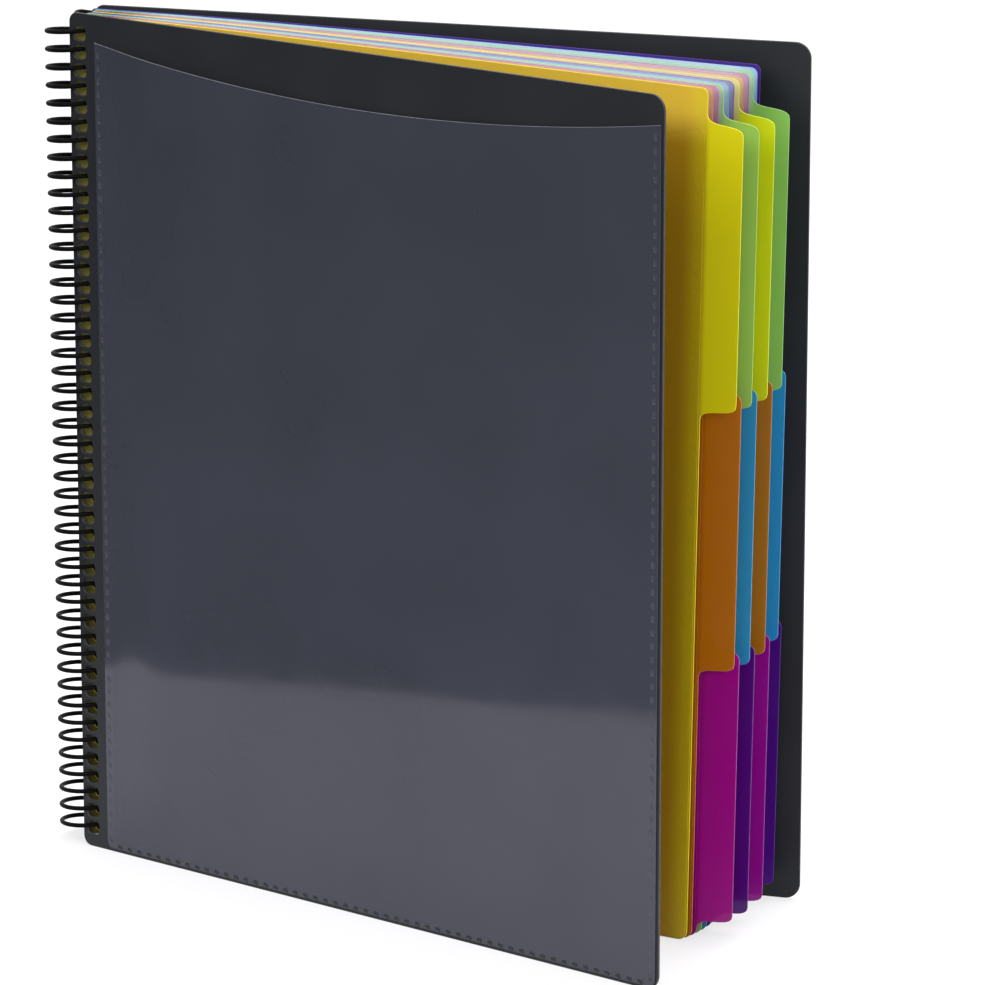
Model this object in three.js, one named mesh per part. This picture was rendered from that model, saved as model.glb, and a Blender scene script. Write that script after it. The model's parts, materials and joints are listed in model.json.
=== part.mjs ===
// Spiral-bound project organizer: two poly covers, a clear pocket on the front cover, twelve tabbed
// pocket dividers in six translucent colours, and one plastic binding coil.
// Millimetres, +Z up. It stands fanned on the lower edges of its covers, with the spine towards -X, the
// back cover along +X and the front towards -Y. The origin is under the middle of the fanned part.

import * as THREE from "three";

// Driving dimensions: lengths in millimetres, angles in degrees.
const COVER_WIDTH = 256;
const COVER_HEIGHT = 300;
const COVER_THICKNESS = 0.9;
const COVER_FREE_CORNER = 8;
const COVER_SPINE_CORNER = 5;

const DIVIDERS = 12;
const PAGE_TOP_MARGIN = 1.2;
const PAGE_BOTTOM_MARGIN = 3.8;
const PAGE_THICKNESS = 0.35;
const PAGE_FREE_CORNER = 3;
const PAGE_SPINE_CORNER = 2;

const TABS_PER_SET = 3;
const TAB_REACH = 13;
const TAB_SPAN = 103;
const TAB_SHOULDER = 6;
const TAB_SHOULDER_EASE = 0.8;
const TAB_COVER_MARGIN = 6;
const TAB_TOP_LAND = 5.8;
const TAB_BOTTOM_LAND = 0.5;

const PANEL_THICKNESS = 0.25;
const PANEL_GAP = 0.1;
const PANEL_HOLE_LAND = 6.5;
const PANEL_EDGE_INSET = 0.6;
const PANEL_MOUTH_DROP = 13.5;
const PANEL_SLASH = 60;

const VINYL_THICKNESS = 0.3;
const VINYL_GAP = 0.1;
const VINYL_CORNER = 3;
const VINYL_HOLE_LAND = 4.3;
const VINYL_FREE_INSET = 1.2;
const VINYL_BOTTOM_INSET = 1.2;
const VINYL_MOUTH_DROP = 9.6;
const VINYL_SCOOP = 9.6;

const COIL_PITCH = 6.35;
const COIL_SLACK = 3.3;
const WIRE_DIAMETER = 1.6;
const CRIMP_LENGTH = 5;
const CRIMP_TURN = 14;

const HOLE_TO_EDGE = 4.8;
const HOLE_PLAY = 0.5;
const HOLE_END_LAND = 0.8;
const SAG_CLEARANCE = 0.24;

const LEAF_GAP = 0.15;
const BACK_GAP_ANGLE = 1.6;
const BACK_STEP_ANGLE = 1.25;
const FRONT_STEP_ANGLE = 0.25;
const FRONT_GAP_ANGLE = 11.15;

// How far each leaf turns open from the rest pose, against the leaf behind it.
const DIVIDER_OPENING = 6;
const COVER_OPENING = 57;

// Facets of round forms.
const COIL_STEPS = 8;
const WIRE_SIDES = 5;
const CRIMP_STEPS = 3;
const CORNER_SEGMENTS = 4;
const SCOOP_SEGMENTS = 16;

// Colours and roughness. The poly's colours start at the front divider and repeat after the sixth.
const POLY_COLOURS = [0xf2d21b, 0xe8871e, 0xc2108e, 0x8fd08a, 0x1f9fd0, 0x5a1fa0];
const POLY_ROUGHNESS = 0.45;
const COVER_COLOUR = 0x2d2f33;
const COVER_ROUGHNESS = 0.55;
const VINYL_COLOUR = 0x4a4d56;
const VINYL_ROUGHNESS = 0.12;
const COIL_COLOUR = 0x141416;
const COIL_ROUGHNESS = 0.4;

const radians = THREE.MathUtils.degToRad;
const degrees = THREE.MathUtils.radToDeg;

// The closed stack: every leaf is parallel, at its own distance in front of the coil's axis.
const LEAF_PITCH = PAGE_THICKNESS + 2 * (PANEL_GAP + PANEL_THICKNESS) + LEAF_GAP;
const COVER_OFFSET = (DIVIDERS * LEAF_PITCH + LEAF_GAP + COVER_THICKNESS) / 2;
const COIL_RADIUS = COVER_OFFSET + COIL_SLACK;

// The dividers bunch towards the front: the step between them narrows evenly from back to front.
function fanAngle(leavesBehind) {
  const narrowing = (BACK_STEP_ANGLE - FRONT_STEP_ANGLE) / (DIVIDERS - 2);
  return leavesBehind * BACK_STEP_ANGLE - (narrowing * leavesBehind * (leavesBehind - 1)) / 2;
}

// A leaf is placed by its distance in front of the axis, by its angle from the back cover at rest, and
// by the widest angle it reaches. Divider 1 is next to the front cover.
function dividerPlace(number) {
  const leavesBehind = DIVIDERS - number;
  const restAngle = BACK_GAP_ANGLE + fanAngle(leavesBehind);
  return {
    offset: ((DIVIDERS + 1) / 2 - number) * LEAF_PITCH,
    restAngle,
    widestAngle: restAngle + (leavesBehind + 1) * DIVIDER_OPENING,
  };
}

const BACK_PLACE = { offset: -COVER_OFFSET, restAngle: 0, widestAngle: 0 };
const FRONT_PLACE = { offset: COVER_OFFSET, ...frontAngles() };

function frontAngles() {
  const first = dividerPlace(1);
  return {
    restAngle: first.restAngle + FRONT_GAP_ANGLE,
    widestAngle: first.widestAngle + FRONT_GAP_ANGLE + COVER_OPENING,
  };
}

// The coil crosses a leaf's plane where the leaf's distance from the axis meets the coil's radius.
const holeReach = (offset) => Math.sqrt(COIL_RADIUS ** 2 - offset ** 2);
const crossingAngle = (offset) => degrees(Math.asin(offset / COIL_RADIUS));

// The wire climbs one pitch per turn, so each leaf's row of holes sits at the wire's height in the
// middle of that leaf's turn. The same hole then clears the wire from closed to wide open.
const midTurn = (place) => crossingAngle(place.offset) + place.widestAngle / 2;
const ROW_MIDDLE_TURN = (midTurn(FRONT_PLACE) + midTurn(BACK_PLACE)) / 2;
const climb = (turn) => (-COIL_PITCH * turn) / 360;
const rowShift = (place) => climb(midTurn(place) - ROW_MIDDLE_TURN);

// The wire's straight facets swing either side of the coil's true radius.
const COIL_VERTEX_RADIUS = (2 * COIL_RADIUS) / (1 + Math.cos(Math.PI / COIL_STEPS));
const FACET_SWING = COIL_VERTEX_RADIUS - COIL_RADIUS;

// Half the width that the wire takes up in a leaf's plane, which it crosses on the slant.
function wireHalfWidth(offset, thickness) {
  const slant = radians(crossingAngle(offset));
  return (WIRE_DIAMETER / 2 + FACET_SWING) / Math.cos(slant) + (thickness / 2) * Math.tan(slant);
}

// Holes clear the wire where it crosses a cover, and over the front cover's whole turn.
const HOLE_HALF_WIDTH = wireHalfWidth(COVER_OFFSET, COVER_THICKNESS) + HOLE_PLAY;
const HOLE_HEIGHT = WIRE_DIAMETER - climb(FRONT_PLACE.widestAngle) + HOLE_PLAY;

// A leaf's outlines are drawn with x from its line of holes and y up from the covers' lower edges.
const LEAF_LEFT = -HOLE_TO_EDGE;
const COVER_RIGHT = LEAF_LEFT + COVER_WIDTH;
const PAGE_RIGHT = COVER_RIGHT - TAB_COVER_MARGIN - TAB_REACH;
const PAGE_BOTTOM = PAGE_BOTTOM_MARGIN;
const PAGE_TOP = COVER_HEIGHT - PAGE_TOP_MARGIN;
const PAGE_HEIGHT = PAGE_TOP - PAGE_BOTTOM;

// The rows of holes are as long as the dividers' height allows, and are centred on it.
const ROW_ROOM = PAGE_HEIGHT - HOLE_HEIGHT - 2 * (HOLE_END_LAND + Math.abs(rowShift(FRONT_PLACE)));
const HOLES = Math.floor(ROW_ROOM / COIL_PITCH) + 1;
const ROW_LENGTH = (HOLES - 1) * COIL_PITCH;
const ROW_MIDDLE = (PAGE_TOP + PAGE_BOTTOM) / 2;
const ROW_TOP = ROW_MIDDLE + ROW_LENGTH / 2;

// Dividers hang in the play of their holes, with the free edge low, until little is left at the end holes.
const SAG_SHIFT = HOLE_HALF_WIDTH - wireHalfWidth(dividerPlace(1).offset, PAGE_THICKNESS) - SAG_CLEARANCE;
const SAG_ANGLE = Math.atan(SAG_SHIFT / (ROW_LENGTH / 2));

function polyMaterial(colour, roughness) {
  return new THREE.MeshStandardMaterial({ color: colour, roughness, metalness: 0 });
}

const COVER_FINISH = polyMaterial(COVER_COLOUR, COVER_ROUGHNESS);
const VINYL_FINISH = polyMaterial(VINYL_COLOUR, VINYL_ROUGHNESS);
const COIL_FINISH = polyMaterial(COIL_COLOUR, COIL_ROUGHNESS);
const POLY_FINISHES = POLY_COLOURS.map((colour) => polyMaterial(colour, POLY_ROUGHNESS));

// Starts a leaf's outline along its lower edge and round its lower free corner.
function openLeaf(right, bottom, freeCorner, spineCorner) {
  const shape = new THREE.Shape();
  shape.moveTo(LEAF_LEFT + spineCorner, bottom);
  shape.lineTo(right - freeCorner, bottom);
  shape.quadraticCurveTo(right, bottom, right, bottom + freeCorner);
  return shape;
}

// Draws the upper free corner, the spine edge and the way back to the start of a leaf's outline.
function closeLeaf(shape, right, top, bottom, freeCorner, spineCorner) {
  shape.lineTo(right, top - freeCorner);
  shape.quadraticCurveTo(right, top, right - freeCorner, top);
  shape.lineTo(LEAF_LEFT + spineCorner, top);
  shape.quadraticCurveTo(LEAF_LEFT, top, LEAF_LEFT, top - spineCorner);
  shape.lineTo(LEAF_LEFT, bottom + spineCorner);
  shape.quadraticCurveTo(LEAF_LEFT, bottom, LEAF_LEFT + spineCorner, bottom);
  return shape;
}

function coverOutline() {
  const shape = openLeaf(COVER_RIGHT, 0, COVER_FREE_CORNER, COVER_SPINE_CORNER);
  return closeLeaf(shape, COVER_RIGHT, COVER_HEIGHT, 0, COVER_FREE_CORNER, COVER_SPINE_CORNER);
}

// A divider's outline: a page with one index tab, whose shoulders are S-curves. The tabs of a set step
// evenly from the page's upper free corner to its lower one.
function dividerOutline(tabStep) {
  const highestTop = PAGE_TOP - PAGE_FREE_CORNER - TAB_TOP_LAND;
  const lowestTop = PAGE_BOTTOM + PAGE_FREE_CORNER + TAB_BOTTOM_LAND + TAB_SPAN;
  const top = highestTop - ((highestTop - lowestTop) * tabStep) / (TABS_PER_SET - 1);
  const bottom = top - TAB_SPAN;
  const edge = PAGE_RIGHT + TAB_REACH;
  const handle = TAB_SHOULDER * TAB_SHOULDER_EASE;
  const upper = top - TAB_SHOULDER;
  const lower = bottom + TAB_SHOULDER;
  const shape = openLeaf(PAGE_RIGHT, PAGE_BOTTOM, PAGE_FREE_CORNER, PAGE_SPINE_CORNER);
  shape.lineTo(PAGE_RIGHT, bottom);
  shape.bezierCurveTo(PAGE_RIGHT, bottom + handle, edge, lower - handle, edge, lower);
  shape.lineTo(edge, upper);
  shape.bezierCurveTo(edge, upper + handle, PAGE_RIGHT, top - handle, PAGE_RIGHT, top);
  return closeLeaf(shape, PAGE_RIGHT, PAGE_TOP, PAGE_BOTTOM, PAGE_FREE_CORNER, PAGE_SPINE_CORNER);
}

// A divider's pocket panel: its mouth is a slash that falls from the free edge towards the spine.
function panelOutline() {
  const left = HOLE_HALF_WIDTH + PANEL_HOLE_LAND;
  const right = PAGE_RIGHT - PANEL_EDGE_INSET;
  const bottom = PAGE_BOTTOM + PANEL_EDGE_INSET;
  const mouth = PAGE_TOP - PANEL_MOUTH_DROP;
  const corner = PAGE_FREE_CORNER - PANEL_EDGE_INSET;
  const shape = new THREE.Shape();
  shape.moveTo(left, bottom);
  shape.lineTo(right - corner, bottom);
  shape.quadraticCurveTo(right, bottom, right, bottom + corner);
  shape.lineTo(right, mouth);
  shape.lineTo(left, mouth - PANEL_SLASH);
  return shape;
}

// The clear pocket of the front cover, with a mouth that dips in the middle.
function vinylOutline() {
  const left = HOLE_HALF_WIDTH + VINYL_HOLE_LAND;
  const right = COVER_RIGHT - VINYL_FREE_INSET;
  const bottom = VINYL_BOTTOM_INSET;
  const mouth = COVER_HEIGHT - VINYL_MOUTH_DROP;
  const shape = new THREE.Shape();
  shape.moveTo(left + VINYL_CORNER, bottom);
  shape.lineTo(right - VINYL_CORNER, bottom);
  shape.quadraticCurveTo(right, bottom, right, bottom + VINYL_CORNER);
  shape.lineTo(right, mouth);
  shape.quadraticCurveTo((left + right) / 2, mouth - 2 * VINYL_SCOOP, left, mouth);
  shape.lineTo(left, bottom + VINYL_CORNER);
  shape.quadraticCurveTo(left, bottom, left + VINYL_CORNER, bottom);
  return shape;
}

// Punches the row of coil holes along x = 0 of a leaf's outline.
function punchHoles(shape, place) {
  const halfHeight = HOLE_HEIGHT / 2;
  for (let hole = 0; hole < HOLES; hole++) {
    const middle = ROW_TOP + rowShift(place) - hole * COIL_PITCH;
    const path = new THREE.Path();
    path.moveTo(-HOLE_HALF_WIDTH, middle - halfHeight);
    path.lineTo(-HOLE_HALF_WIDTH, middle + halfHeight);
    path.lineTo(HOLE_HALF_WIDTH, middle + halfHeight);
    path.lineTo(HOLE_HALF_WIDTH, middle - halfHeight);
    shape.holes.push(path);
  }
  return shape;
}

// A flat sheet whose outline stands upright and whose rear face lies at y = rear.
function sheet(name, shape, thickness, rear, finish, curveSegments = CORNER_SEGMENTS) {
  const geometry = new THREE.ExtrudeGeometry(shape, { depth: thickness, bevelEnabled: false, curveSegments });
  geometry.rotateX(Math.PI / 2);
  const mesh = new THREE.Mesh(geometry, finish);
  mesh.name = name;
  mesh.position.y = rear;
  return mesh;
}

// The frame of a leaf: turned about the coil's axis, with its line of holes at x = 0 and its middle plane
// at y = 0. A sagging leaf turns in its own plane about the middle of its row of holes.
function leafFrame(place, sagAngle) {
  const turning = new THREE.Group();
  turning.rotation.z = -radians(place.restAngle);
  const hanging = new THREE.Group();
  hanging.position.set(holeReach(place.offset), -place.offset, ROW_MIDDLE);
  hanging.rotation.y = sagAngle;
  const leaf = new THREE.Group();
  leaf.position.z = -ROW_MIDDLE;
  hanging.add(leaf);
  turning.add(hanging);
  return { turning, leaf };
}

function cover(name, place) {
  const frame = leafFrame(place, 0);
  const outline = punchHoles(coverOutline(), place);
  frame.leaf.add(sheet(name, outline, COVER_THICKNESS, COVER_THICKNESS / 2, COVER_FINISH));
  return frame;
}

function frontCover() {
  const frame = cover("front_cover", FRONT_PLACE);
  const rear = -COVER_THICKNESS / 2 - VINYL_GAP;
  const pocket = sheet(
    "front_cover_pocket",
    vinylOutline(),
    VINYL_THICKNESS,
    rear,
    VINYL_FINISH,
    SCOOP_SEGMENTS,
  );
  frame.leaf.add(pocket);
  return frame.turning;
}

function divider(number) {
  const place = dividerPlace(number);
  const name = "divider_" + String(number).padStart(2, "0");
  const finish = POLY_FINISHES[(number - 1) % POLY_FINISHES.length];
  const outline = punchHoles(dividerOutline((number - 1) % TABS_PER_SET), place);
  const skin = PAGE_THICKNESS / 2;
  const frame = leafFrame(place, SAG_ANGLE);
  const frontRear = -skin - PANEL_GAP;
  const backRear = skin + PANEL_GAP + PANEL_THICKNESS;
  frame.leaf.add(
    sheet(name + "_sheet", outline, PAGE_THICKNESS, skin, finish),
    sheet(name + "_front_pocket", panelOutline(), PANEL_THICKNESS, frontRear, finish),
    sheet(name + "_back_pocket", panelOutline(), PANEL_THICKNESS, backRear, finish),
  );
  return frame.turning;
}

// A point of the coil: turn counts degrees from the back cover's direction towards the front.
function coilPoint(turn, radius) {
  const angle = radians(turn);
  const height = ROW_TOP + climb(turn - ROW_MIDDLE_TURN);
  return new THREE.Vector3(radius * Math.cos(angle), -radius * Math.sin(angle), height);
}

// The wire's route. Both ends stop behind the spine, midway between the back cover's holes and the place
// that the front cover's holes reach when it lies wide open, and are crimped in towards the axis.
function coilRoute() {
  const frontLimit = crossingAngle(COVER_OFFSET) + FRONT_PLACE.widestAngle;
  const backLimit = 360 + crossingAngle(-COVER_OFFSET);
  const parked = (frontLimit + backLimit) / 2;
  const first = parked - 360;
  const steps = HOLES * COIL_STEPS;
  const route = [];
  for (let step = 0; step <= steps; step++) {
    route.push(coilPoint(first + (step * 360) / COIL_STEPS, COIL_VERTEX_RADIUS));
  }
  for (let step = 1; step <= CRIMP_STEPS; step++) {
    const part = step / CRIMP_STEPS;
    const radius = COIL_VERTEX_RADIUS - CRIMP_LENGTH * part ** 2;
    route.push(coilPoint(first + HOLES * 360 + CRIMP_TURN * part, radius));
    route.unshift(coilPoint(first - CRIMP_TURN * part, radius));
  }
  runStraight(route);
  route.reverse();
  runStraight(route);
  return route;
}

// Runs the end of a route straight on for one wire diameter.
function runStraight(route) {
  const end = route[route.length - 1];
  const before = route[route.length - 2];
  const run = end.clone().sub(before).setLength(WIRE_DIAMETER);
  route.push(end.clone().add(run));
}

// A closed tube of equal sides along a route, with its rings carried along without twisting.
function tube(route, radius, sides) {
  const positions = [];
  const faces = [];
  const along = route.map((point, i) => {
    const from = route[Math.max(i - 1, 0)];
    const to = route[Math.min(i + 1, route.length - 1)];
    return to.clone().sub(from).normalize();
  });
  const normal = new THREE.Vector3(0, 0, 1).cross(along[0]).normalize();
  const turn = new THREE.Quaternion();
  route.forEach((point, ring) => {
    if (ring > 0) {
      turn.setFromUnitVectors(along[ring - 1], along[ring]);
      normal.applyQuaternion(turn).projectOnPlane(along[ring]).normalize();
    }
    for (let side = 0; side < sides; side++) {
      const spoke = normal.clone().applyAxisAngle(along[ring], (side * 2 * Math.PI) / sides);
      positions.push(...point.clone().addScaledVector(spoke, radius).toArray());
    }
  });
  for (let ring = 0; ring < route.length - 1; ring++) {
    for (let side = 0; side < sides; side++) {
      const a = ring * sides + side;
      const b = ring * sides + ((side + 1) % sides);
      faces.push(a, b, b + sides, a, b + sides, a + sides);
    }
  }
  const last = (route.length - 1) * sides;
  for (let side = 1; side < sides - 1; side++) {
    faces.push(0, side + 1, side, last, last + side, last + side + 1);
  }
  const geometry = new THREE.BufferGeometry();
  geometry.setAttribute("position", new THREE.Float32BufferAttribute(positions, 3));
  geometry.setIndex(faces);
  geometry.computeVertexNormals();
  return geometry;
}

// The least clear distance between turns of the wire, on the route's points and the middles of its steps.
function leastSelfGap(route) {
  const points = [];
  for (let i = 0; i < route.length - 1; i++) {
    points.push(route[i], route[i].clone().lerp(route[i + 1], 0.5));
  }
  let least = Infinity;
  for (let i = 0; i < points.length; i++) {
    for (let j = i + COIL_STEPS; j < points.length; j++) {
      least = Math.min(least, points[i].distanceTo(points[j]));
    }
  }
  return least - WIRE_DIAMETER;
}

function bindingCoil() {
  const route = coilRoute();
  console.log("binding_coil: least gap to itself " + leastSelfGap(route).toFixed(2) + " mm");
  const mesh = new THREE.Mesh(tube(route, WIRE_DIAMETER / 2, WIRE_SIDES), COIL_FINISH);
  mesh.name = "binding_coil";
  return mesh;
}

function organizer() {
  const bound = new THREE.Group();
  bound.add(cover("back_cover", BACK_PLACE).turning, bindingCoil());
  for (let number = DIVIDERS; number >= 1; number--) {
    bound.add(divider(number));
  }
  bound.add(frontCover());
  bound.updateMatrixWorld(true);
  const box = new THREE.Box3().setFromObject(bound, true);
  const middle = box.getCenter(new THREE.Vector3());
  bound.position.set(-middle.x, -middle.y, -box.min.z);
  const part = new THREE.Group();
  part.add(bound);
  return part;
}

export default organizer();
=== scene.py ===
"""A project organizer folder: two charcoal covers and twelve tabbed pocket dividers on a plastic coil."""

import json
import math

import bpy
import numpy as np
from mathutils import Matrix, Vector
from mathutils.geometry import delaunay_2d_cdt


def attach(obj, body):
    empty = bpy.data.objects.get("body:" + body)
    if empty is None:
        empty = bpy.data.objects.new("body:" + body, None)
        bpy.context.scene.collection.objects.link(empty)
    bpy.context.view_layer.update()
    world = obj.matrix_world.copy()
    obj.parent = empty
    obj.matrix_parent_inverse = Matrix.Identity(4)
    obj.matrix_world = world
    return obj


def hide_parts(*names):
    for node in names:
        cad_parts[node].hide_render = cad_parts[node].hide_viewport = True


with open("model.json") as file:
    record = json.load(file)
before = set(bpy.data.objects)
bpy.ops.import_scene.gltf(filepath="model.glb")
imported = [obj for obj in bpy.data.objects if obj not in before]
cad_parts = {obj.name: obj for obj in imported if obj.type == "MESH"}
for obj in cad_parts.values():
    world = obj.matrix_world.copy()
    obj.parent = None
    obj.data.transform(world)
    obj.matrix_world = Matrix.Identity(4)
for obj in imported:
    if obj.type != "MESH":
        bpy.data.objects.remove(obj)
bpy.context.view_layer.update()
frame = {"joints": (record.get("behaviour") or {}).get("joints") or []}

# Sizes in millimetres, as in the part; MM turns them into the frame's metres.
MM = 0.001

# Covers
COVER_WIDTH = 256.0
COVER_HEIGHT = 300.0
COVER_THICKNESS = 0.9
COVER_FREE_CORNER = 5.5
COVER_SPINE_CORNER = 3.5
COVER_RIM = 0.2

# Dividers
PAGE_TOP_MARGIN = 1.2
PAGE_BOTTOM_MARGIN = 3.8
PAGE_THICKNESS = 0.35
PAGE_FREE_CORNER = 2.2
PAGE_LOW_CORNER = 3.4
PAGE_SPINE_CORNER = 1.6
PAGE_HOLE_TO_EDGE = 7.5
PAGE_RIM = 0.09
TABS_PER_SET = 3
TAB_REACH = 13.0
TAB_SPAN = 103.0
TAB_SHOULDER = 6.0
TAB_SHOULDER_EASE = 0.8
TAB_COVER_MARGIN = 6.0
TAB_TOP_LAND = 6.6
TAB_BOTTOM_LAND = 1.3

# Slash pockets of the dividers
PANEL_THICKNESS = 0.25
PANEL_GAP = 0.1
PANEL_HOLE_LAND = 6.5
PANEL_EDGE_INSET = 0.6
PANEL_MOUTH_DROP = 13.5
PANEL_SLASH = 60.0
PANEL_RIM = 0.07

# Clear pocket of the front cover
VINYL_THICKNESS = 0.3
VINYL_GAP = 0.1
VINYL_CORNER = 2.5
VINYL_HOLE_LAND = 4.3
VINYL_FREE_INSET = 1.2
VINYL_BOTTOM_INSET = 1.2
VINYL_MOUTH_DROP = 9.6
VINYL_SCOOP = 9.6
VINYL_RIM = 0.1
VINYL_SWELL = 1.1
VINYL_SWELL_REACH = 22.0
VINYL_WAVE = 0.03
VINYL_WAVE_RUNS = ((17.0, 29.0), (41.0, -19.0))
VINYL_WAVE_FADE = 10.0
VINYL_GRID = 4.0

# Weld dashes along the closed sides of the pockets, dark along the bottom of the clear one
VINYL_WELD_INSET = 1.9
VINYL_WELD_RISE = 1.0
PANEL_WELD_INSET = 2.3
WELD_PITCH = 4.5
WELD_LENGTH = 2.2
WELD_WIDTH = 1.5
WELD_SLOPE = 0.2
VINYL_WELD_DEPTH = 0.2
PANEL_WELD_DEPTH = 0.03
DARK_WELD_HEIGHTS = (3.4, 5.0)

# Binding
COIL_PITCH = 6.35
COIL_RADIUS = 11.025
WIRE_RADIUS = 0.8
CRIMP_LENGTH = 5.0
CRIMP_TURN = 14.0
CRIMP_END = 1.6
CRIMP_TIP_SHARE = 0.75
COIL_FIRST_TURN = -105.0
HOLES = 46
HOLE_TO_EDGE = 4.8
HOLE_WIDTH = 5.35
HOLE_HEIGHT = 4.74
HOLE_CORNER = 1.5
ROW_TOP = 294.175
LEAF_PITCH = 1.2
COVER_OFFSET = 7.725

# How the dividers hang: the play of the holes at the spine, and the bend of the sheet further out
HANG_ANGLE = 0.305
DROOP_ANGLE = 1.0
DROOP_START = 5.0
DROOP_END = 60.0
TOP_DROOP = 2.0
TOP_DROOP_CURVE = 1.5

# Facets of the round forms
CORNER_STEPS = 8
HOLE_CORNER_STEPS = 5
SHOULDER_STEPS = 10
SCOOP_STEPS = 48
EDGE_STEP = 8.0
COIL_STEPS = 48
WIRE_SIDES = 12
CRIMP_STEPS = 6
SMOOTH_ANGLE = 40.0

LEFT = -HOLE_TO_EDGE
COVER_RIGHT = LEFT + COVER_WIDTH
TAB_RIGHT = COVER_RIGHT - TAB_COVER_MARGIN
PAGE_RIGHT = TAB_RIGHT - TAB_REACH
PAGE_BOTTOM = PAGE_BOTTOM_MARGIN
PAGE_TOP = COVER_HEIGHT - PAGE_TOP_MARGIN
PAGE_MIDDLE = (PAGE_TOP + PAGE_BOTTOM) / 2
COLOURS = ("yellow", "orange", "magenta", "green", "blue", "purple")
DIVIDERS = 12


# Where the leaves stand
AXIS = np.array(frame["joints"][0]["pos_m"][:2]) / MM


def joint_turns():
    """Each body's turn at rest and its widest turn, in degrees from the back cover."""
    rest = {"back_cover": 0.0}
    widest = {"back_cover": 0.0}
    turned = 0.0
    opened = 0.0
    for joint in frame["joints"]:
        turned -= joint["range_deg"][0]
        opened += joint["range_deg"][1]
        rest[joint["child"]] = turned
        widest[joint["child"]] = turned + opened
    return rest, widest


REST, WIDEST = joint_turns()


def middle_turn(body, offset):
    """The coil's turn, in degrees, at the middle of a leaf's swing."""
    return math.degrees(math.asin(offset / COIL_RADIUS)) + WIDEST[body] / 2


ROW_MIDDLE_TURN = (middle_turn("back_cover", -COVER_OFFSET) + middle_turn("front_cover", COVER_OFFSET)) / 2


def climb(turn):
    """How far the coil's wire rises over a turn in degrees; it runs down as it turns."""
    return -COIL_PITCH * turn / 360


def hang(points):
    """Bend a divider within its own plane, as it hangs from the coil by its line of holes."""
    u, y, z = points.T
    start = math.radians(HANG_ANGLE)
    more = math.radians(DROOP_ANGLE - HANG_ANGLE)
    reach = DROOP_END - DROOP_START
    part = np.clip((u - DROOP_START) / reach, 0, 1)
    angle = start + more * part ** 2 * (3 - 2 * part)
    bent = more * (reach * (part ** 3 - part ** 4 / 2) + np.maximum(u - DROOP_END, 0))
    height = (z - PAGE_BOTTOM) / (PAGE_TOP - PAGE_BOTTOM)
    sunk = TOP_DROOP * np.clip(u / PAGE_RIGHT, 0, None) ** TOP_DROOP_CURVE * height
    return np.stack([u + angle * (z - PAGE_MIDDLE), y, z - start * u - bent - sunk], axis=1)


class Leaf:
    """A flat leaf on the coil: u from the line of holes, y from its middle plane to the rear, z up."""

    def __init__(self, body, offset, hangs):
        self.body = body
        self.offset = offset
        self.hangs = hangs
        self.turn = math.radians(REST[body])
        self.reach = math.sqrt(COIL_RADIUS ** 2 - offset ** 2)
        self.row_shift = climb(middle_turn(body, offset) - ROW_MIDDLE_TURN)

    def place(self, points):
        """Leaf points in millimetres to points of the frame in metres."""
        u, y, z = (hang(points) if self.hangs else points).T
        out = self.reach + u
        aside = y - self.offset
        c = math.cos(self.turn)
        s = math.sin(self.turn)
        return np.stack([AXIS[0] + out * c + aside * s, AXIS[1] - out * s + aside * c, z], axis=1) * MM


# Outlines, as loops of (u, z) points with the material on the left of the way round
def rounded(corners, steps=CORNER_STEPS):
    """A closed loop through corners (u, z, radius); a radius of 0 keeps the bare point."""
    loop = []
    for k, (u, z, radius) in enumerate(corners):
        here = np.array((u, z))
        if radius == 0:
            loop.append(here)
            continue
        back = np.array(corners[k - 1][:2]) - here
        ahead = np.array(corners[(k + 1) % len(corners)][:2]) - here
        back /= np.linalg.norm(back)
        ahead /= np.linalg.norm(ahead)
        half = math.acos(float(np.clip(back @ ahead, -1, 1))) / 2
        middle = (back + ahead) / np.linalg.norm(back + ahead)
        centre = here + middle * radius / math.sin(half)
        first = here + back * radius / math.tan(half) - centre
        last = here + ahead * radius / math.tan(half) - centre
        swing = math.pi - 2 * half
        for step in range(steps + 1):
            angle = swing * step / steps
            bend = first * math.sin(swing - angle) + last * math.sin(angle)
            loop.append(centre + bend / math.sin(swing))
    return np.array(loop)


def split_long(loop, most=EDGE_STEP):
    """Add points along each edge longer than most."""
    points = []
    for here, ahead in zip(loop, np.roll(loop, -1, axis=0)):
        count = max(1, math.ceil(np.linalg.norm(ahead - here) / most))
        points.extend(here + (ahead - here) * k / count for k in range(count))
    return np.array(points)


def inset(loop, distance):
    """The loop moved into the material by a distance."""
    ahead = np.roll(loop, -1, axis=0) - loop
    ahead /= np.linalg.norm(ahead, axis=1)[:, None]
    behind = np.roll(ahead, 1, axis=0)
    both = ahead + behind
    left = np.stack([-both[:, 1], both[:, 0]], axis=1)
    return loop + distance * left / (1 + np.sum(ahead * behind, axis=1))[:, None]


def bezier(start, pull, draw, end, steps):
    """Points of a cubic curve."""
    t = np.linspace(0, 1, steps + 1)[:, None]
    start, pull, draw, end = (np.array(p) for p in (start, pull, draw, end))
    return start * (1 - t) ** 3 + pull * 3 * t * (1 - t) ** 2 + draw * 3 * t * t * (1 - t) + end * t ** 3


def cover_outline():
    """A cover: a rectangle with rounded corners."""
    return split_long(rounded([
        (LEFT, 0, COVER_SPINE_CORNER),
        (COVER_RIGHT, 0, COVER_FREE_CORNER),
        (COVER_RIGHT, COVER_HEIGHT, COVER_FREE_CORNER),
        (LEFT, COVER_HEIGHT, COVER_SPINE_CORNER),
    ]))


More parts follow.
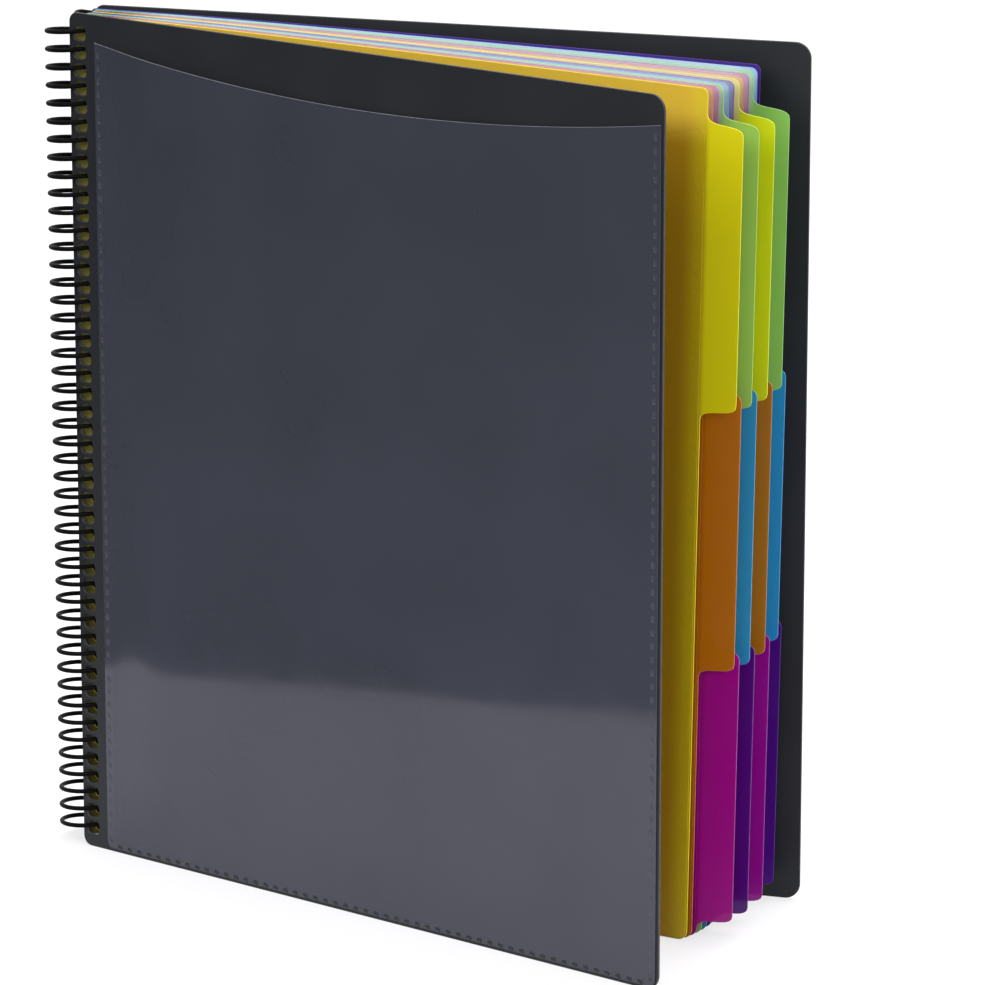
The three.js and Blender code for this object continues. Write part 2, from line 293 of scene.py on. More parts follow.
def tab_edges(step):
    """The bottom and top of a tab, one of three steps down the free edge."""
    highest = PAGE_TOP - PAGE_FREE_CORNER - TAB_TOP_LAND
    lowest = PAGE_BOTTOM + PAGE_FREE_CORNER + TAB_BOTTOM_LAND
    drop = (highest - lowest - TAB_SPAN) / (TABS_PER_SET - 1)
    top = highest - step * drop
    return top - TAB_SPAN, top


def page_outline(step):
    """A divider with its tab at one of the three steps."""
    bottom, top = tab_edges(step)
    ease = TAB_SHOULDER * TAB_SHOULDER_EASE
    tab_low = bottom + TAB_SHOULDER
    tab_high = top - TAB_SHOULDER
    lower = bezier((PAGE_RIGHT, bottom), (PAGE_RIGHT, bottom + ease),
                   (TAB_RIGHT, tab_low - ease), (TAB_RIGHT, tab_low), SHOULDER_STEPS)
    upper = bezier((TAB_RIGHT, tab_high), (TAB_RIGHT, tab_high + ease),
                   (PAGE_RIGHT, top - ease), (PAGE_RIGHT, top), SHOULDER_STEPS)
    tab = [(u, z, 0) for u, z in np.concatenate([lower, upper])]
    left = -PAGE_HOLE_TO_EDGE
    return split_long(rounded([
        (left, PAGE_BOTTOM, PAGE_SPINE_CORNER),
        (PAGE_RIGHT, PAGE_BOTTOM, PAGE_LOW_CORNER),
        *tab,
        (PAGE_RIGHT, PAGE_TOP, PAGE_FREE_CORNER),
        (left, PAGE_TOP, PAGE_SPINE_CORNER),
    ]))


PANEL_LEFT = HOLE_WIDTH / 2 + PANEL_HOLE_LAND
PANEL_RIGHT = PAGE_RIGHT - PANEL_EDGE_INSET
PANEL_BOTTOM = PAGE_BOTTOM + PANEL_EDGE_INSET
PANEL_MOUTH = PAGE_TOP - PANEL_MOUTH_DROP


def panel_outline():
    """A slash pocket, whose mouth falls towards the spine."""
    return split_long(rounded([
        (PANEL_LEFT, PANEL_BOTTOM, PAGE_SPINE_CORNER),
        (PANEL_RIGHT, PANEL_BOTTOM, PAGE_LOW_CORNER - PANEL_EDGE_INSET),
        (PANEL_RIGHT, PANEL_MOUTH, PAGE_SPINE_CORNER),
        (PANEL_LEFT, PANEL_MOUTH - PANEL_SLASH, PAGE_SPINE_CORNER),
    ]))


VINYL_LEFT = HOLE_WIDTH / 2 + VINYL_HOLE_LAND
VINYL_RIGHT = COVER_RIGHT - VINYL_FREE_INSET
VINYL_BOTTOM = VINYL_BOTTOM_INSET
VINYL_MOUTH = COVER_HEIGHT - VINYL_MOUTH_DROP


def mouth_height(u):
    """Height of the clear pocket's mouth, which dips between its two upper corners."""
    part = (u - VINYL_LEFT) / (VINYL_RIGHT - VINYL_LEFT)
    return VINYL_MOUTH - VINYL_SCOOP * 4 * part * (1 - part)


def vinyl_outline():
    """The clear pocket with its scooped mouth."""
    mouth = [(u, mouth_height(u), 0) for u in np.linspace(VINYL_RIGHT, VINYL_LEFT, SCOOP_STEPS + 1)]
    return split_long(rounded([
        (VINYL_LEFT, VINYL_BOTTOM, VINYL_CORNER),
        (VINYL_RIGHT, VINYL_BOTTOM, VINYL_CORNER),
        *mouth,
    ]))


def hole_row(leaf):
    """The leaf's row of binding holes, each wound the other way round from the outline."""
    half = HOLE_WIDTH / 2
    tall = HOLE_HEIGHT / 2
    hole = rounded([(-half, -tall, HOLE_CORNER), (-half, tall, HOLE_CORNER),
                    (half, tall, HOLE_CORNER), (half, -tall, HOLE_CORNER)], HOLE_CORNER_STEPS)
    top = ROW_TOP + leaf.row_shift
    return [hole + (0, top - k * COIL_PITCH) for k in range(HOLES)]


def weld_row(start, end):
    """Small pressed dashes from one point to another, at the weld's pitch."""
    start = np.array(start)
    run = np.array(end) - start
    length = np.linalg.norm(run)
    along = run / length
    aside = np.array((-along[1], along[0]))
    count = int(length / WELD_PITCH)
    a = WELD_LENGTH / 2
    b = WELD_WIDTH / 2
    cut = b / 2
    shape = [(-a, -b + cut), (-a, b - cut), (-a + cut, b), (a - cut, b),
             (a, b - cut), (a, -b + cut), (a - cut, -b), (-a + cut, -b)]
    loops = []
    for k in range(count):
        middle = start + along * ((k + 0.5) * length / count)
        loops.append(np.array([middle + along * p + aside * q for p, q in shape]))
    return loops


def pocket_welds(left, right, bottom, left_top, right_top, margin, rise):
    """Dashes down both sides of a pocket, a margin in, and along its bottom, a rise above the edge."""
    low = bottom + rise
    return (weld_row((left + margin, low), (left + margin, left_top - margin))
            + weld_row((left + 2 * margin, low), (right - 2 * margin, low))
            + weld_row((right - margin, low), (right - margin, right_top - margin)))


# Meshes
INSIDE_ONLY = 1
MERGE_DISTANCE = 1e-5


def fill(loops, spacing):
    """Triangles inside the first loop and outside the others, and each loop's vertex numbers."""
    points = [tuple(p) for loop in loops for p in loop]
    edges = []
    first = 0
    for loop in loops:
        count = len(loop)
        edges.extend((first + k, first + (k + 1) % count) for k in range(count))
        first += count
    if spacing:
        low = loops[0].min(axis=0) + spacing
        high = loops[0].max(axis=0) - spacing / 2
        for u in np.arange(low[0], high[0], spacing):
            points.extend((u, z) for z in np.arange(low[1], high[1], spacing))
    found = delaunay_2d_cdt([Vector(p) for p in points], edges, [], INSIDE_ONLY, MERGE_DISTANCE)
    vertices, _, faces, origins, _, _ = found
    number = {old: new for new, olds in enumerate(origins) for old in olds}
    rings = []
    first = 0
    for loop in loops:
        rings.append([number[first + k] for k in range(len(loop))])
        first += len(loop)
    hole_of = {vertex: k for k, ring in enumerate(rings) for vertex in ring if k > 0}
    kept = [face for face in faces if not in_one_hole(face, hole_of)]
    used = sorted({vertex for face in kept for vertex in face})
    order = {vertex: k for k, vertex in enumerate(used)}
    flat = np.array([tuple(vertices[vertex]) for vertex in used])
    return flat, [[order[v] for v in face] for face in kept], [[order[v] for v in ring] for ring in rings]


def in_one_hole(face, hole_of):
    """Whether all of a triangle's corners lie on the same hole, which is round enough to hold it."""
    holes = {hole_of.get(vertex) for vertex in face}
    return len(holes) == 1 and None not in holes


class Solid:
    """Vertices and faces of one closed sheet, gathered in leaf coordinates."""

    def __init__(self):
        self.points = []
        self.faces = []
        self.materials = []

    def add_points(self, flat, y):
        first = len(self.points)
        self.points.extend((u, y, z) for u, z in flat)
        return list(range(first, len(self.points)))

    def add_faces(self, faces, material):
        self.faces.extend(faces)
        self.materials.extend([material] * len(faces))

    def band(self, front, rear, material):
        """Quads between two rings of the same count."""
        count = len(front)
        quads = [(front[k], rear[k], rear[(k + 1) % count], front[(k + 1) % count]) for k in range(count)]
        self.add_faces(quads, material)


FACE = 0
EDGE = 1
WELD = 2


def sheet(name, leaf, loops, front, rear, rim, welds=(), weld_depth=0.0, spacing=None, swell=None):
    """A flat closed sheet with softened edges, holes and weld dashes pressed into its front or rear."""
    solid = Solid()
    inner = [inset(loop, rim) for loop in loops]
    pressed_rear = weld_depth < 0
    front_loops = inner + ([] if pressed_rear else list(welds))
    rear_loops = inner + (list(welds) if pressed_rear else [])
    front_flat, front_faces, front_rings = fill(front_loops, spacing)
    rear_flat, rear_faces, rear_rings = fill(rear_loops, spacing)
    near = solid.add_points(front_flat, front)
    far = solid.add_points(rear_flat, rear)
    solid.add_faces([[near[k] for k in face] for face in front_faces], FACE)
    solid.add_faces([[far[k] for k in reversed(face)] for face in rear_faces], FACE)
    for k, loop in enumerate(loops):
        near_edge = solid.add_points(loop, front + rim)
        far_edge = solid.add_points(loop, rear - rim)
        near_ring = [near[j] for j in front_rings[k]]
        far_ring = [far[j] for j in rear_rings[k]]
        solid.band(near_ring, near_edge, EDGE)
        solid.band(near_edge, far_edge, EDGE)
        solid.band(far_edge, far_ring, EDGE)
    for k, loop in enumerate(welds):
        floor_loop = inset(loop, -WELD_SLOPE)
        if pressed_rear:
            top_ring = [far[j] for j in rear_rings[len(loops) + k]]
            floor_ring = solid.add_points(floor_loop, rear + weld_depth)
            solid.band(floor_ring, top_ring, WELD)
            solid.add_faces([floor_ring], WELD)
        else:
            top_ring = [near[j] for j in front_rings[len(loops) + k]]
            floor_ring = solid.add_points(floor_loop, front + weld_depth)
            solid.band(top_ring, floor_ring, WELD)
            solid.add_faces([floor_ring[::-1]], WELD)
    points = np.array(solid.points)
    leaf_points = points.copy()
    if swell:
        points[:, 1] += swell(points[:, 0], points[:, 2])
    return make_mesh(name, leaf.place(points), solid.faces, solid.materials, leaf_points)


def make_mesh(name, points, faces, materials, leaf_points):
    """A smooth-shaded object; its leaf attribute keeps the flat leaf coordinates for the materials."""
    mesh = bpy.data.meshes.new(name)
    mesh.from_pydata(points.tolist(), [], faces)
    mesh.polygons.foreach_set("material_index", materials)
    leaf_attribute = mesh.attributes.new("leaf", "FLOAT_VECTOR", "POINT")
    leaf_attribute.data.foreach_set("vector", np.asarray(leaf_points, dtype=np.float32).ravel())
    mesh.shade_smooth()
    mesh.set_sharp_from_angle(angle=math.radians(SMOOTH_ANGLE))
    sharpen_borders(mesh)
    mesh.update()
    piece = bpy.data.objects.new(name, mesh)
    bpy.context.scene.collection.objects.link(piece)
    return piece


def sharpen_borders(mesh):
    """Keep the shading of faces, cut edges and welds apart, so that flat faces stay flat."""
    kinds = {}
    for face in mesh.polygons:
        for key in face.edge_keys:
            kinds.setdefault(key, set()).add(face.material_index)
    for edge in mesh.edges:
        if len(kinds[edge.key]) > 1:
            edge.use_edge_sharp = True


def at_mouth(mesh, face):
    """Whether a rim face of the clear pocket lies along its mouth."""
    flat = [mesh.attributes["leaf"].data[k].vector for k in face.vertices]
    return all(point[2] > mouth_height(point[0]) - 2 * VINYL_RIM for point in flat)


def soft_step(value):
    """From 0 to 1 with level ends."""
    part = np.clip(value, 0, 1)
    return part ** 2 * (3 - 2 * part)


def vinyl_swell(u, z):
    """The clear film stands off the cover between its welds, most near the spine, in faint long waves."""
    from_left = u - VINYL_LEFT - 2 * VINYL_WELD_INSET
    from_right = VINYL_RIGHT - 2 * VINYL_WELD_INSET - u
    from_bottom = z - VINYL_BOTTOM - 2 * VINYL_WELD_INSET
    full = soft_step(from_left / VINYL_SWELL_REACH) * soft_step(from_bottom / VINYL_SWELL_REACH)
    width = VINYL_RIGHT - VINYL_LEFT
    wave = VINYL_WAVE * soft_step(from_right / VINYL_WAVE_FADE)
    for run_u, run_z in VINYL_WAVE_RUNS:
        wave = wave * np.sin(u / run_u + z / run_z)
    return -(VINYL_SWELL * np.clip(from_right / width, 0, 1) + wave) * full


def coil_path():
    """Middle line of the wire, with both ends bent in towards the axis."""
    turns = np.linspace(COIL_FIRST_TURN, COIL_FIRST_TURN + HOLES * 360, HOLES * COIL_STEPS + 1)
    part = np.linspace(1 / CRIMP_STEPS, 1, CRIMP_STEPS)
    radii = COIL_RADIUS - CRIMP_LENGTH * part ** 2
    before = turns[0] - CRIMP_TURN * part
    after = turns[-1] + CRIMP_TURN * part
    turn = np.concatenate([before[::-1], turns, after])
    radius = np.concatenate([radii[::-1], np.full(len(turns), COIL_RADIUS), radii])
    height = ROW_TOP + climb(turn - ROW_MIDDLE_TURN)
    angle = np.radians(turn)
    path = np.stack([AXIS[0] + radius * np.cos(angle), AXIS[1] - radius * np.sin(angle), height], axis=1)
    tip_first = path[0] + CRIMP_END * unit(path[0] - path[1])
    tip_last = path[-1] + CRIMP_END * unit(path[-1] - path[-2])
    return np.concatenate([[tip_first], path, [tip_last]])


def unit(vector):
    """A vector of length 1 the same way."""
    return vector / np.linalg.norm(vector)


def tube(name, path, radius, sides):
    """A round closed tube along a path, with softened ends."""
    along = np.gradient(path, axis=0)
    along /= np.linalg.norm(along, axis=1)[:, None]
    side = unit(np.cross(along[0], (0, 0, 1)))
    points = []
    for k, here in enumerate(path):
        side = unit(side - along[k] * (side @ along[k]))
        up = np.cross(along[k], side)
        shrink = CRIMP_TIP_SHARE if k in (0, len(path) - 1) else 1.0
        for j in range(sides):
            angle = 2 * math.pi * j / sides
            points.append(here + radius * shrink * (side * math.cos(angle) + up * math.sin(angle)))
    faces = []
    for k in range(len(path) - 1):
        for j in range(sides):
            a = k * sides + j
            b = k * sides + (j + 1) % sides
            faces.append((a, b, b + sides, a + sides))
    last = (len(path) - 1) * sides
    faces.append(tuple(range(sides))[::-1])
    faces.append(tuple(last + j for j in range(sides)))
    points = np.array(points)
    return make_mesh(name, points * MM, faces, [FACE] * len(faces), points)


# Materials, with sizes in millimetres on the flat leaf
CLOUD_LIMITS = (0.3, 0.7)
ROUGHNESS_PATCH = 14.0
GRAIN_HEIGHT = 0.1 * MM
EDGE_CLOUD = 2.5
EDGE_FINISH = {"grain": 0.3, "strength": 0.2, "roughness": (0.35, 0.5)}
VINYL_CLOUD_LIFT = 1.12
VINYL_BAND_FADE = 0.4
VINYL_BAND_COAT = 0.12

# Divider film: its top strip painted pale with light, its painted glow at the free edge and in the tab,
# and its fine specks
TOP_STRIP_START = 21.0
TOP_STRIP_FULL = 6.0
EDGE_GLOW = 0.35
EDGE_GLOW_START = 9.0
EDGE_GLOW_FULL = 0.5
TAB_GLOW_START = 2.0
TAB_GLOW_FULL = 1.5
SPECK_SIZE = 0.5
SPECK_LIMITS = (0.35, 0.65)
SPECK_SHARE = 0.06

# Share of light on the dividers' land behind the coil, low down and high up, between which heights,
# how far its colour is greyed, and how far past the panel's edge it ends
LAND_SHADES = (0.12, 0.42)
LAND_HEIGHTS = (55.0, 155.0)
LAND_GREY = 0.3
LAND_FADE = 12.0


def linear(red, green, blue):
    """A colour written as 0 to 255 screen values, in linear light."""
    def one(value):
        value /= 255
        return value / 12.92 if value <= 0.04045 else ((value + 0.055) / 1.055) ** 2.4
    return one(red), one(green), one(blue), 1.0


def add(tree, kind, inputs=None, **settings):
    """A shader node; inputs are values or sockets to link, settings are its own properties."""
    made = tree.nodes.new("ShaderNode" + kind)
    for name, value in settings.items():
        setattr(made, name, value)
    for name, value in (inputs or {}).items():
        if isinstance(value, bpy.types.NodeSocket):
            tree.links.new(value, made.inputs[name])
        else:
            made.inputs[name].default_value = value
    return made


MIX_FACTOR, MIX_A, MIX_B, MIX_RESULT = 0, 6, 7, 2


def mix_colours(tree, factor, first, second):
    """A blend of two colours by a factor socket."""
    inputs = {MIX_FACTOR: factor, MIX_A: first, MIX_B: second}
    return add(tree, "Mix", inputs, data_type="RGBA").outputs[MIX_RESULT]


def ramp(tree, value, low, high, to_low=0.0, to_high=1.0):
    """A soft step of a value between two limits."""
    inputs = {"Value": value, "From Min": low, "From Max": high, "To Min": to_low, "To Max": to_high}
    return add(tree, "MapRange", inputs, interpolation_type="SMOOTHSTEP").outputs["Result"]


def largest(tree, first, second):
    """The larger of two values."""
    return add(tree, "Math", {0: first, 1: second}, operation="MAXIMUM").outputs["Value"]


def product(tree, first, second):
    """One value times another."""
    return add(tree, "Math", {0: first, 1: second}, operation="MULTIPLY").outputs["Value"]


def noise(tree, place, size, detail=2.0):
    """Noise with features of about this size, in the units of place."""
    return add(tree, "TexNoise", {"Vector": place, "Scale": 1 / size, "Detail": detail}).outputs["Fac"]


def new_material(name):
    """An empty node material, its tree, its Principled node and its leaf coordinates."""
    material = bpy.data.materials.new(name)
    material.use_nodes = True
    tree = material.node_tree
    shader = tree.nodes["Principled BSDF"]
    place = add(tree, "Attribute", attribute_name="leaf").outputs["Vector"]
    return material, tree, shader, place


def bump(tree, height, strength, distance):
    """A normal that follows a height."""
    inputs = {"Height": height, "Strength": strength, "Distance": distance}
    return add(tree, "Bump", inputs).outputs["Normal"]


def cloud_tint(tree, place, colour, lighter, size, detail=2.0):
    """A colour that drifts to a lighter one and back, in clouds of about a size."""
    cloud = ramp(tree, noise(tree, place, size, detail), *CLOUD_LIMITS)
    return mix_colours(tree, cloud, colour, lighter)


def wander_roughness(tree, shader, place, roughness):
    """A roughness that wanders in patches between two values."""
    patches = ramp(tree, noise(tree, place, ROUGHNESS_PATCH), *CLOUD_LIMITS, *roughness)
    tree.links.new(patches, shader.inputs["Roughness"])


def finish_surface(tree, shader, place, grain, strength, roughness):
    """Fine moulded grain in the normal, and a roughness that wanders a little."""
    tree.links.new(bump(tree, noise(tree, place, grain), strength, GRAIN_HEIGHT), shader.inputs["Normal"])
    wander_roughness(tree, shader, place, roughness)


def scaled(colour, share):
    """A colour made darker or lighter, at most full."""
    return tuple(min(1.0, share * c) for c in colour[:3]) + (1.0,)


def cover_material(name, colour, lighter):
    """Charcoal poly sheet with a dull sheen."""
    material, tree, shader, place = new_material(name)
    tint = cloud_tint(tree, place, colour, lighter, size=38.0, detail=4.0)
    tree.links.new(tint, shader.inputs["Base Color"])
    finish_surface(tree, shader, place, grain=0.5, strength=0.06, roughness=(0.47, 0.51))
    shader.inputs["Specular IOR Level"].default_value = 0.25
    return material


def vinyl_material(name, colour, alpha):
    """Smooth film, smoky over the dark cover, with a trace of extra gloss in its weld by the spine."""
    material, tree, shader, place = new_material(name)
    tint = cloud_tint(tree, place, colour, scaled(colour, VINYL_CLOUD_LIFT), size=55.0, detail=3.0)
    tree.links.new(tint, shader.inputs["Base Color"])
    across = add(tree, "SeparateXYZ", {"Vector": place}).outputs["X"]
    band_end = VINYL_LEFT + 2 * VINYL_WELD_INSET
    coat = ramp(tree, across, band_end - VINYL_BAND_FADE, band_end + VINYL_BAND_FADE, VINYL_BAND_COAT, 0.0)
    tree.links.new(coat, shader.inputs["Coat Weight"])
    wander_roughness(tree, shader, place, roughness=(0.06, 0.09))
    shader.inputs["Alpha"].default_value = alpha
    shader.inputs["IOR"].default_value = 1.48
    shader.inputs["Specular Tint"].default_value = (0.94, 0.88, 1.0, 1.0)
    shader.inputs["Coat Roughness"].default_value = 0.06
    return material


def land_tint(tree, height, light):
    """The greyed and shaded colour of a divider's land behind the coil, darker low down."""
    grey = sum(light[:3]) / 3
    greyed = [(1 - LAND_GREY) * c + LAND_GREY * grey for c in light[:3]]
    low, high = (scaled(greyed, share) for share in LAND_SHADES)
    return mix_colours(tree, ramp(tree, height, *LAND_HEIGHTS), low, high)


def poly_material(name, doubled_and_shaded, light, painted_light_top, alpha):
    """Frosted see-through film: deep where pockets double it, and deep also as painted shade; painted
    lighter in the tab and along the top.
    """
    material, tree, shader, place = new_material(name)
    parts = add(tree, "SeparateXYZ", {"Vector": place})
    across = parts.outputs["X"]
    height = parts.outputs["Z"]
    # Painted light: the top strip turns to a paler tint, as if lit through from behind
    top = ramp(tree, height, PAGE_TOP - TOP_STRIP_START, PAGE_TOP - TOP_STRIP_FULL)
    edge_start = PAGE_RIGHT - EDGE_GLOW_START
    edge_full = PAGE_RIGHT - EDGE_GLOW_FULL
    # Painted glow near the free edge and in the tab
    painted_light_near_tab = ramp(tree, across, edge_start, edge_full, 0.0, EDGE_GLOW)
    tab = ramp(tree, across, PAGE_RIGHT - TAB_GLOW_START, PAGE_RIGHT + TAB_GLOW_FULL)
    painted_glow = largest(tree, painted_light_near_tab, tab)
    # Painted shade: the body is painted deep, partly for its doubled film
    body = mix_colours(tree, top, doubled_and_shaded, painted_light_top)
    whole = mix_colours(tree, painted_glow, body, light)
    past_holes = ramp(tree, across, HOLE_WIDTH / 2, PANEL_LEFT + LAND_FADE)
    sheet_colour = mix_colours(tree, past_holes, land_tint(tree, height, light), whole)
    speck = ramp(tree, noise(tree, place, SPECK_SIZE), *SPECK_LIMITS, 0.0, SPECK_SHARE)
    tree.links.new(mix_colours(tree, speck, sheet_colour, light), shader.inputs["Base Color"])
    finish_surface(tree, shader, place, grain=0.4, strength=0.15, roughness=(0.4, 0.52))
    shader.inputs["Alpha"].default_value = alpha
    shader.inputs["Specular IOR Level"].default_value = 0.2
    return material


def edge_material(name, colour, lighter):
    """A cut edge, painted lighter as a glow for the light it gathers from the film behind it."""
    material, tree, shader, place = new_material(name)
    tint = cloud_tint(tree, place, colour, lighter, EDGE_CLOUD)
    tree.links.new(tint, shader.inputs["Base Color"])
    finish_surface(tree, shader, place, **EDGE_FINISH)
    return material


def weld_material(name, colour, lighter, dark):
    """Film pressed onto the cover, darker along the bottom."""
    material, tree, shader, place = new_material(name)
    tint = cloud_tint(tree, place, colour, lighter, EDGE_CLOUD)
    height = add(tree, "SeparateXYZ", {"Vector": place}).outputs["Z"]
    above = ramp(tree, height, *DARK_WELD_HEIGHTS)
    tree.links.new(mix_colours(tree, above, dark, tint), shader.inputs["Base Color"])
    finish_surface(tree, shader, place, **EDGE_FINISH)
    return material


def coil_material(name, colour, lighter):
    """Black plastic wire with hardly any shine."""
    material, tree, shader, place = new_material(name)
    tint = cloud_tint(tree, place, colour, lighter, size=6.0)
    tree.links.new(tint, shader.inputs["Base Color"])
    finish_surface(tree, shader, place, grain=0.6, strength=0.1, roughness=(0.36, 0.5))
    shader.inputs["Specular IOR Level"].default_value = 0.04
    return material


# Cut edges are painted lighter than their faces: a painted glow along each edge
COVER_POLY = cover_material("cover_poly", linear(28, 30, 34), linear(32, 34, 38))
COVER_EDGE = edge_material("cover_edge", linear(40, 42, 46), linear(50, 52, 56))
VINYL = vinyl_material("pocket_vinyl", linear(55, 57, 66), 0.92)
VINYL_EDGE = edge_material("pocket_vinyl_edge", linear(106, 108, 116), linear(128, 130, 138))
VINYL_WELD = weld_material("pocket_vinyl_weld", linear(50, 51, 61), linear(57, 58, 69),
                           linear(16, 17, 20))
COIL = coil_material("coil_plastic", linear(5, 5, 6), linear(9, 9, 10))

# Each colour's doubled body (partly painted shade), its single film, and its top strip in painted light in
# the front and in the rear set, the rear set's in painted shade
POLY_TINTS = {
    "yellow": ((142, 104, 12), (212, 202, 12), (208, 172, 54), (226, 214, 172)),
    "orange": ((134, 74, 4), (174, 100, 4), (218, 184, 164), (222, 196, 180)),
    "magenta": ((116, 1, 94), (150, 1, 124), (204, 176, 196), (206, 182, 204)),
    "green": ((98, 144, 62), (138, 180, 80), (184, 214, 196), (178, 216, 194)),
    "blue": ((28, 110, 150), (38, 132, 178), (190, 206, 220), (196, 208, 226)),
    "purple": ((62, 1, 96), (72, 1, 110), (176, 170, 206), (66, 46, 130)),
}
POLY_ALPHA = 0.87
REAR_PAINTED_SHADE = (0.8, 0.98, 1.1)
RIM_PALE = 0.125
SETS = ("front", "rear")


def poly_set(colour, half):
    """A colour's film and cut-edge materials in the front or the rear set; the rear set is a copy in
    painted shade.
    """
    doubled_and_shaded, light, *painted_light_tops = (linear(*tint) for tint in POLY_TINTS[colour])
    painted_light_top = painted_light_tops[SETS.index(half)]
    # Painted shade: the rear set's single film is cast cooler and darker
    if half == "rear":
        light = tuple(min(1.0, c * cast) for c, cast in zip(light, REAR_PAINTED_SHADE)) + (1.0,)
    name = "poly_" + colour + "_" + half
    # The divider's cut edge is a painted glow: its single film tinted towards the painted top light
    rim = tuple((1 - RIM_PALE) * a + RIM_PALE * b for a, b in zip(light, painted_light_top))
    return poly_material(name, doubled_and_shaded, light, painted_light_top, POLY_ALPHA), edge_material(name + "_edge", light, rim)


POLY = {(colour, half): poly_set(colour, half) for half in SETS for colour in COLOURS}


def dress(piece, body, node, slot, *materials):
    """Put a piece on its body, in the place of its plain solid, with its finish."""
    for material in materials:
        piece.data.materials.append(material)
    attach(piece, body)
    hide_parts(node)


# Covers and binding
half_cover = COVER_THICKNESS / 2
back_leaf = Leaf("back_cover", -COVER_OFFSET, False)
front_leaf = Leaf("front_cover", COVER_OFFSET, False)
for cover_leaf in (back_leaf, front_leaf):
    cover_loops = [cover_outline()] + hole_row(cover_leaf)
    cover = sheet(cover_leaf.body + "_board", cover_leaf, cover_loops, -half_cover, half_cover, COVER_RIM)
    dress(cover, cover_leaf.body, cover_leaf.body, "cover_poly", COVER_POLY, COVER_EDGE)

vinyl_rear = -half_cover - VINYL_GAP
vinyl_welds = pocket_welds(VINYL_LEFT, VINYL_RIGHT, VINYL_BOTTOM, VINYL_MOUTH, VINYL_MOUTH,
                           VINYL_WELD_INSET, VINYL_WELD_RISE)
vinyl = sheet("front_cover_film", front_leaf, [vinyl_outline()], vinyl_rear - VINYL_THICKNESS, vinyl_rear,
              VINYL_RIM, vinyl_welds, VINYL_WELD_DEPTH, VINYL_GRID, vinyl_swell)
for face in vinyl.data.polygons:
    if face.material_index == EDGE and not at_mouth(vinyl.data, face):
        face.material_index = WELD
dress(vinyl, "front_cover", "front_cover_pocket", "pocket_vinyl", VINYL, VINYL_EDGE, VINYL_WELD)

coil = tube("binding_coil_wire", coil_path(), WIRE_RADIUS, WIRE_SIDES)
dress(coil, "back_cover", "binding_coil", "coil_plastic", COIL)

# Dividers, the first next to the front cover
half_page = PAGE_THICKNESS / 2
panel_near = half_page + PANEL_GAP
panel_far = panel_near + PANEL_THICKNESS
panel_welds = pocket_welds(PANEL_LEFT, PANEL_RIGHT, PANEL_BOTTOM, PANEL_MOUTH - PANEL_SLASH, PANEL_MOUTH,
                           PANEL_WELD_INSET, PANEL_WELD_INSET)
for place in range(1, DIVIDERS + 1):
    body = "divider_%02d" % place
    colour = COLOURS[(place - 1) % len(COLOURS)]
    film, edge = POLY[colour, SETS[(place - 1) // len(COLOURS)]]
    page_leaf = Leaf(body, ((DIVIDERS + 1) / 2 - place) * LEAF_PITCH, True)
    page_loops = [page_outline((place - 1) % TABS_PER_SET)] + hole_row(page_leaf)
    page = sheet(body + "_page", page_leaf, page_loops, -half_page, half_page, PAGE_RIM)
    dress(page, body, body + "_sheet", "poly_" + colour, film, edge)
    front_panel = sheet(body + "_panel_front", page_leaf, [panel_outline()], -panel_far, -panel_near,
                        PANEL_RIM, panel_welds, PANEL_WELD_DEPTH)
    dress(front_panel, body, body + "_front_pocket", "poly_" + colour, film, film, film)
    back_panel = sheet(body + "_panel_back", page_leaf, [panel_outline()], panel_near, panel_far,
                       PANEL_RIM, panel_welds, -PANEL_WELD_DEPTH)
    dress(back_panel, body, body + "_back_pocket", "poly_" + colour, film, film, film)

# Stage: a white table that ends a little way in front, white all round, and darkness below the table
TABLE_EDGE_PLACE = (-0.2264, -0.1625)
TABLE_EDGE_ANGLE = -41.9
TABLE_SIZE = 3.0
TABLE_COLOUR = (0.9, 0.885, 0.92, 1.0)
TABLE_WHITE = 0.6
WHITE = (1.0, 1.0, 1.0, 1.0)
SKY_HIGH = (0.9, 0.9, 0.91, 1.0)
SKY_LOW = (0.03, 0.03, 0.032, 1.0)
SKY_FADE = (-0.05, 0.25)
LAMP_TARGET = (0.0, 0.0, 0.15)


def white_table():
    """The floor; its near edge runs slantwise in front of the object, and shows in the clear pocket."""
    place = Vector((*TABLE_EDGE_PLACE, 0.0))
    angle = math.radians(TABLE_EDGE_ANGLE)
    along = Vector((math.cos(angle), math.sin(angle), 0.0))
    inward = Vector((-along.y, along.x, 0.0))
    corners = [place - TABLE_SIZE * along, place + TABLE_SIZE * along, place + 2 * TABLE_SIZE * inward]
    mesh = bpy.data.meshes.new("table")
    mesh.from_pydata(corners, [], [(0, 1, 2)])
    table = bpy.data.objects.new("table", mesh)
    bpy.context.scene.collection.objects.link(table)
    material = bpy.data.materials.new("table")
    material.use_nodes = True
    tree = material.node_tree
    tree.nodes.clear()
    path = add(tree, "LightPath")
    lit = add(tree, "BsdfDiffuse", {"Color": TABLE_COLOUR})
    white = add(tree, "Emission", {"Color": WHITE, "Strength": 1.0})
    mirrored = largest(tree, path.outputs["Is Glossy Ray"], path.outputs["Is Transmission Ray"])
    shown = largest(tree, path.outputs["Is Camera Ray"], mirrored)
    share = product(tree, shown, TABLE_WHITE)
    both = add(tree, "MixShader", {0: share, 1: lit.outputs["BSDF"], 2: white.outputs["Emission"]})
    add(tree, "OutputMaterial", {"Surface": both.outputs["Shader"]})
    mesh.materials.append(material)


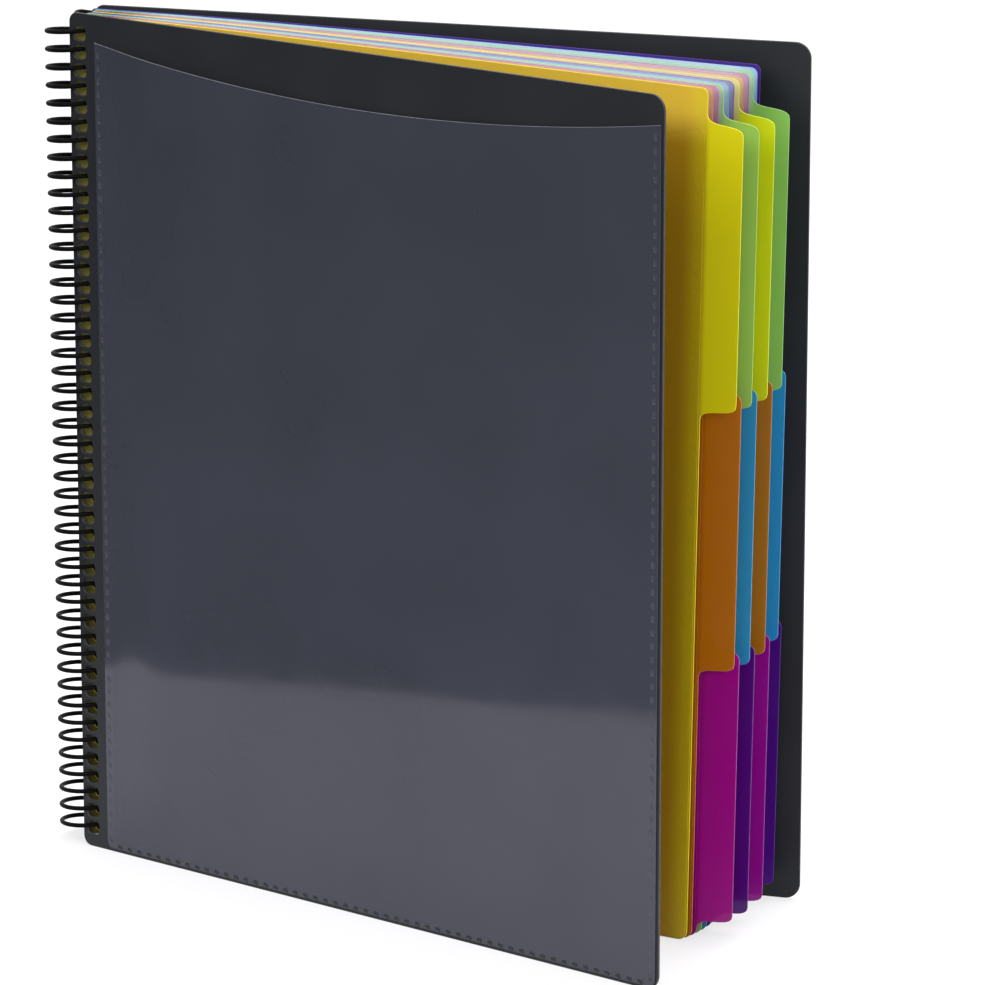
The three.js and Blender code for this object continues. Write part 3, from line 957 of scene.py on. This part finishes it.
def sky():
    """Soft white light from above and hardly any from below, with plain white for the camera."""
    world = bpy.data.worlds.new("studio")
    bpy.context.scene.world = world
    world.use_nodes = True
    tree = world.node_tree
    tree.nodes.clear()
    path = add(tree, "LightPath")
    direction = add(tree, "SeparateXYZ", {"Vector": add(tree, "TexCoord").outputs["Generated"]})
    above = ramp(tree, direction.outputs["Z"], *SKY_FADE)
    light = mix_colours(tree, above, SKY_LOW, SKY_HIGH)
    mirrored = product(tree, path.outputs["Is Glossy Ray"], above)
    passing = largest(tree, path.outputs["Is Transmission Ray"], mirrored)
    shown = largest(tree, path.outputs["Is Camera Ray"], passing)
    seen = mix_colours(tree, shown, light, WHITE)
    shine = add(tree, "Background", {"Color": seen, "Strength": 1.0})
    add(tree, "OutputWorld", {"Surface": shine.outputs["Background"]})


def lamp(name, place, size, power):
    """A square soft box turned to the middle of the object."""
    data = bpy.data.lights.new(name, "AREA")
    data.size = size
    data.energy = power
    made = bpy.data.objects.new(name, data)
    made.location = place
    made.rotation_euler = (Vector(LAMP_TARGET) - Vector(place)).to_track_quat("-Z", "Y").to_euler()
    bpy.context.scene.collection.objects.link(made)


white_table()
sky()
lamp("top_box", place=(0.3, 0.5, 2.0), size=1.6, power=40.0)
lamp("front_box", place=(-1.1, -2.0, 1.8), size=1.6, power=40.0)
lamp("side_box", place=(2.0, -1.4, 1.2), size=1.2, power=30.0)

# Camera, at the photograph's viewing angle
SENSOR_WIDTH = 36.0
LENS = 210.9
CAMERA_PLACE = (0.6049, -1.7902, 0.6319)
CAMERA_YAW = 17.51
CAMERA_PITCH = 14.38
CAMERA_FAR = 20.0

lens = bpy.data.cameras.new("camera")
lens.sensor_fit = "HORIZONTAL"
lens.sensor_width = SENSOR_WIDTH
lens.lens = LENS
lens.clip_end = CAMERA_FAR
camera = bpy.data.objects.new("camera", lens)
camera.location = CAMERA_PLACE
camera.rotation_euler = (math.radians(90 - CAMERA_PITCH), 0.0, math.radians(CAMERA_YAW))
bpy.context.scene.collection.objects.link(camera)
bpy.context.scene.camera = camera
bpy.context.scene.view_settings.view_transform = "Standard"
